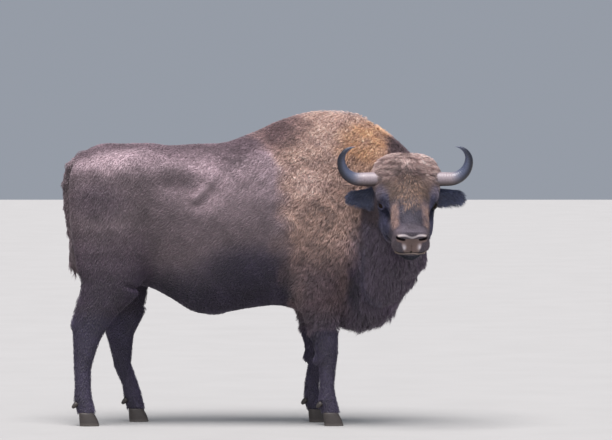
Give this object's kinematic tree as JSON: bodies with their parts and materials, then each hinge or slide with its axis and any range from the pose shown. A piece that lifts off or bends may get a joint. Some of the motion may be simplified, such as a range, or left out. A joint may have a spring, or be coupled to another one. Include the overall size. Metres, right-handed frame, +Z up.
{
  "type": "european bison figure",
  "caption": "Life-size still figure of a young European bison bull standing on four hooves with its head turned to its right.",
  "frame": {"origin": "on the floor, under the middle of the animal's bounding box", "axes": "+X from rump to chest along the spine, +Y to the animal's left, +Z up; the turned head faces -Y"},
  "size_m": [2.2654, 0.954, 1.7422],
  "materials": {
    "coat_dark": "short dense dark brown fur",
    "coat_brown": "brown fur, longer on the crown, neck and throat",
    "coat_tawny": "woolly tawny brown fur of hump and shoulder",
    "coat_black": "blackish fur of ears and tail tuft",
    "horn": "smooth grey horn, darker towards the tip",
    "hoof": "dark satin horn",
    "eye": "wet dark brown eye"
  },
  "bodies": {
    "root": {"barrel": "coat_dark", "ear_left": "coat_black", "ear_right": "coat_black", "eye_left": "eye", "eye_right": "eye", "foreleg_left_claw_inner": "hoof", "foreleg_left_claw_outer": "hoof", "foreleg_left_dewclaw_inner": "hoof", "foreleg_left_dewclaw_outer": "hoof", "foreleg_left_lower": "coat_dark", "foreleg_left_pastern": "coat_dark", "foreleg_left_upper": "coat_dark", "foreleg_right_claw_inner": "hoof", "foreleg_right_claw_outer": "hoof", "foreleg_right_dewclaw_inner": "hoof", "foreleg_right_dewclaw_outer": "hoof", "foreleg_right_lower": "coat_dark", "foreleg_right_pastern": "coat_dark", "foreleg_right_upper": "coat_dark", "forequarters": "coat_tawny", "head": "coat_brown", "hindleg_left_claw_inner": "hoof", "hindleg_left_claw_outer": "hoof", "hindleg_left_dewclaw_inner": "hoof", "hindleg_left_dewclaw_outer": "hoof", "hindleg_left_lower": "coat_dark", "hindleg_left_pastern": "coat_dark", "hindleg_left_upper": "coat_dark", "hindleg_right_claw_inner": "hoof", "hindleg_right_claw_outer": "hoof", "hindleg_right_dewclaw_inner": "hoof", "hindleg_right_dewclaw_outer": "hoof", "hindleg_right_lower": "coat_dark", "hindleg_right_pastern": "coat_dark", "hindleg_right_upper": "coat_dark", "hindquarters": "coat_dark", "horn_left": "horn", "horn_right": "horn", "lower_jaw": "coat_dark", "neck": "coat_brown", "tail": "coat_dark", "tail_tuft": "coat_black"}
  },
  "joints": []
}
